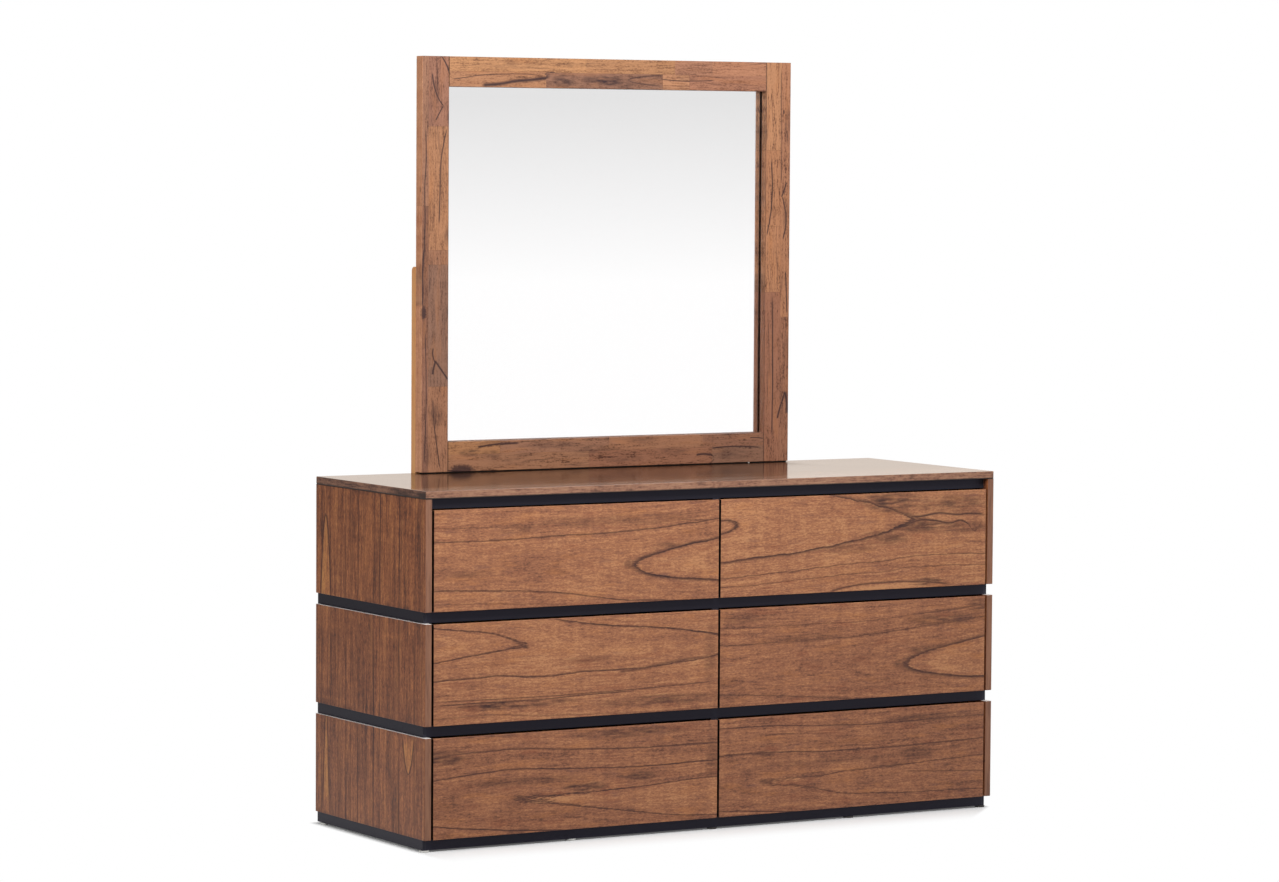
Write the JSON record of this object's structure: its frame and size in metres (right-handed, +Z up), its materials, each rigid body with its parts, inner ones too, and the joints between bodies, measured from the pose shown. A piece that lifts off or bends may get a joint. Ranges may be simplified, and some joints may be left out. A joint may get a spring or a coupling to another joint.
{
  "type": "dresser with mirror",
  "caption": "Wide wooden dresser with two columns of handleless drawers between recessed black bands, and a square framed mirror on its top.",
  "frame": {"origin": "on the floor, under the middle of the whole footprint, uprights included", "axes": "+X to the right of someone who faces the drawers, +Y to the back, +Z up; the front faces -Y"},
  "size_m": [1.5, 0.545, 1.742],
  "materials": {
    "veneer_top": "stained veneer under satin lacquer",
    "veneer_sides": "stained veneer, upright grain, satin lacquer",
    "veneer_fronts": "stained veneer, level grain, satin lacquer",
    "black_lacquer": "painted satin black",
    "frame_wood": "stained finger-jointed solid wood, satin lacquer",
    "silvered_glass": "silvered float glass",
    "backing_board": "bare fibreboard",
    "upright_wood": "light clear-lacquered solid wood",
    "box_wood": "clear-lacquered light solid wood",
    "drawer_bottom": "thin plywood",
    "back_panel": "thin stained plywood",
    "dowel_wood": "fluted beech, plain here",
    "runner_steel": "zinc-plated rolled steel",
    "screw_steel": "zinc-plated",
    "glide_plastic": "natural white",
    "pad_rubber": "black foam rubber strip"
  },
  "bodies": {
    "root": {"back_panels": "back_panel", "backing_clips": "screw_steel", "base_board": "black_lacquer", "cabinet_runners": "runner_steel", "carcass_dowels": "dowel_wood", "glides": "glide_plastic", "left_upright": "upright_wood", "lower_divider": "black_lacquer", "lower_left_side": "veneer_sides", "lower_partition": "black_lacquer", "lower_right_side": "veneer_sides", "middle_left_side": "veneer_sides", "middle_partition": "black_lacquer", "middle_right_side": "veneer_sides", "mirror_backing": "backing_board", "mirror_bottom_rail": "frame_wood", "mirror_glass": "silvered_glass", "mirror_left_stile": "frame_wood", "mirror_pads": "pad_rubber", "mirror_right_stile": "frame_wood", "mirror_top_rail": "frame_wood", "right_upright": "upright_wood", "top_rail": "black_lacquer", "top_slab": "veneer_top", "upper_divider": "black_lacquer", "upper_left_side": "veneer_sides", "upper_partition": "black_lacquer", "upper_right_side": "veneer_sides", "upright_screws": "screw_steel"},
    "upper_left_drawer": {"upper_left_front": "veneer_fronts", "upper_left_box_sides": "box_wood", "upper_left_box_ends": "box_wood", "upper_left_bottom": "drawer_bottom", "upper_left_runners": "runner_steel"},
    "upper_right_drawer": {"upper_right_front": "veneer_fronts", "upper_right_box_sides": "box_wood", "upper_right_box_ends": "box_wood", "upper_right_bottom": "drawer_bottom", "upper_right_runners": "runner_steel"},
    "middle_left_drawer": {"middle_left_front": "veneer_fronts", "middle_left_box_sides": "box_wood", "middle_left_box_ends": "box_wood", "middle_left_bottom": "drawer_bottom", "middle_left_runners": "runner_steel"},
    "middle_right_drawer": {"middle_right_front": "veneer_fronts", "middle_right_box_sides": "box_wood", "middle_right_box_ends": "box_wood", "middle_right_bottom": "drawer_bottom", "middle_right_runners": "runner_steel"},
    "lower_left_drawer": {"lower_left_front": "veneer_fronts", "lower_left_box_sides": "box_wood", "lower_left_box_ends": "box_wood", "lower_left_bottom": "drawer_bottom", "lower_left_runners": "runner_steel"},
    "lower_right_drawer": {"lower_right_front": "veneer_fronts", "lower_right_box_sides": "box_wood", "lower_right_box_ends": "box_wood", "lower_right_bottom": "drawer_bottom", "lower_right_runners": "runner_steel"}
  },
  "joints": [
    {"name": "upper_left_slide", "type": "slide", "parent": "root", "child": "upper_left_drawer", "axis": [0, -1, 0], "range_m": [0, 0.34]},
    {"name": "upper_right_slide", "type": "slide", "parent": "root", "child": "upper_right_drawer", "axis": [0, -1, 0], "range_m": [0, 0.34]},
    {"name": "middle_left_slide", "type": "slide", "parent": "root", "child": "middle_left_drawer", "axis": [0, -1, 0], "range_m": [0, 0.34]},
    {"name": "middle_right_slide", "type": "slide", "parent": "root", "child": "middle_right_drawer", "axis": [0, -1, 0], "range_m": [0, 0.34]},
    {"name": "lower_left_slide", "type": "slide", "parent": "root", "child": "lower_left_drawer", "axis": [0, -1, 0], "range_m": [0, 0.34]},
    {"name": "lower_right_slide", "type": "slide", "parent": "root", "child": "lower_right_drawer", "axis": [0, -1, 0], "range_m": [0, 0.34]}
  ]
}
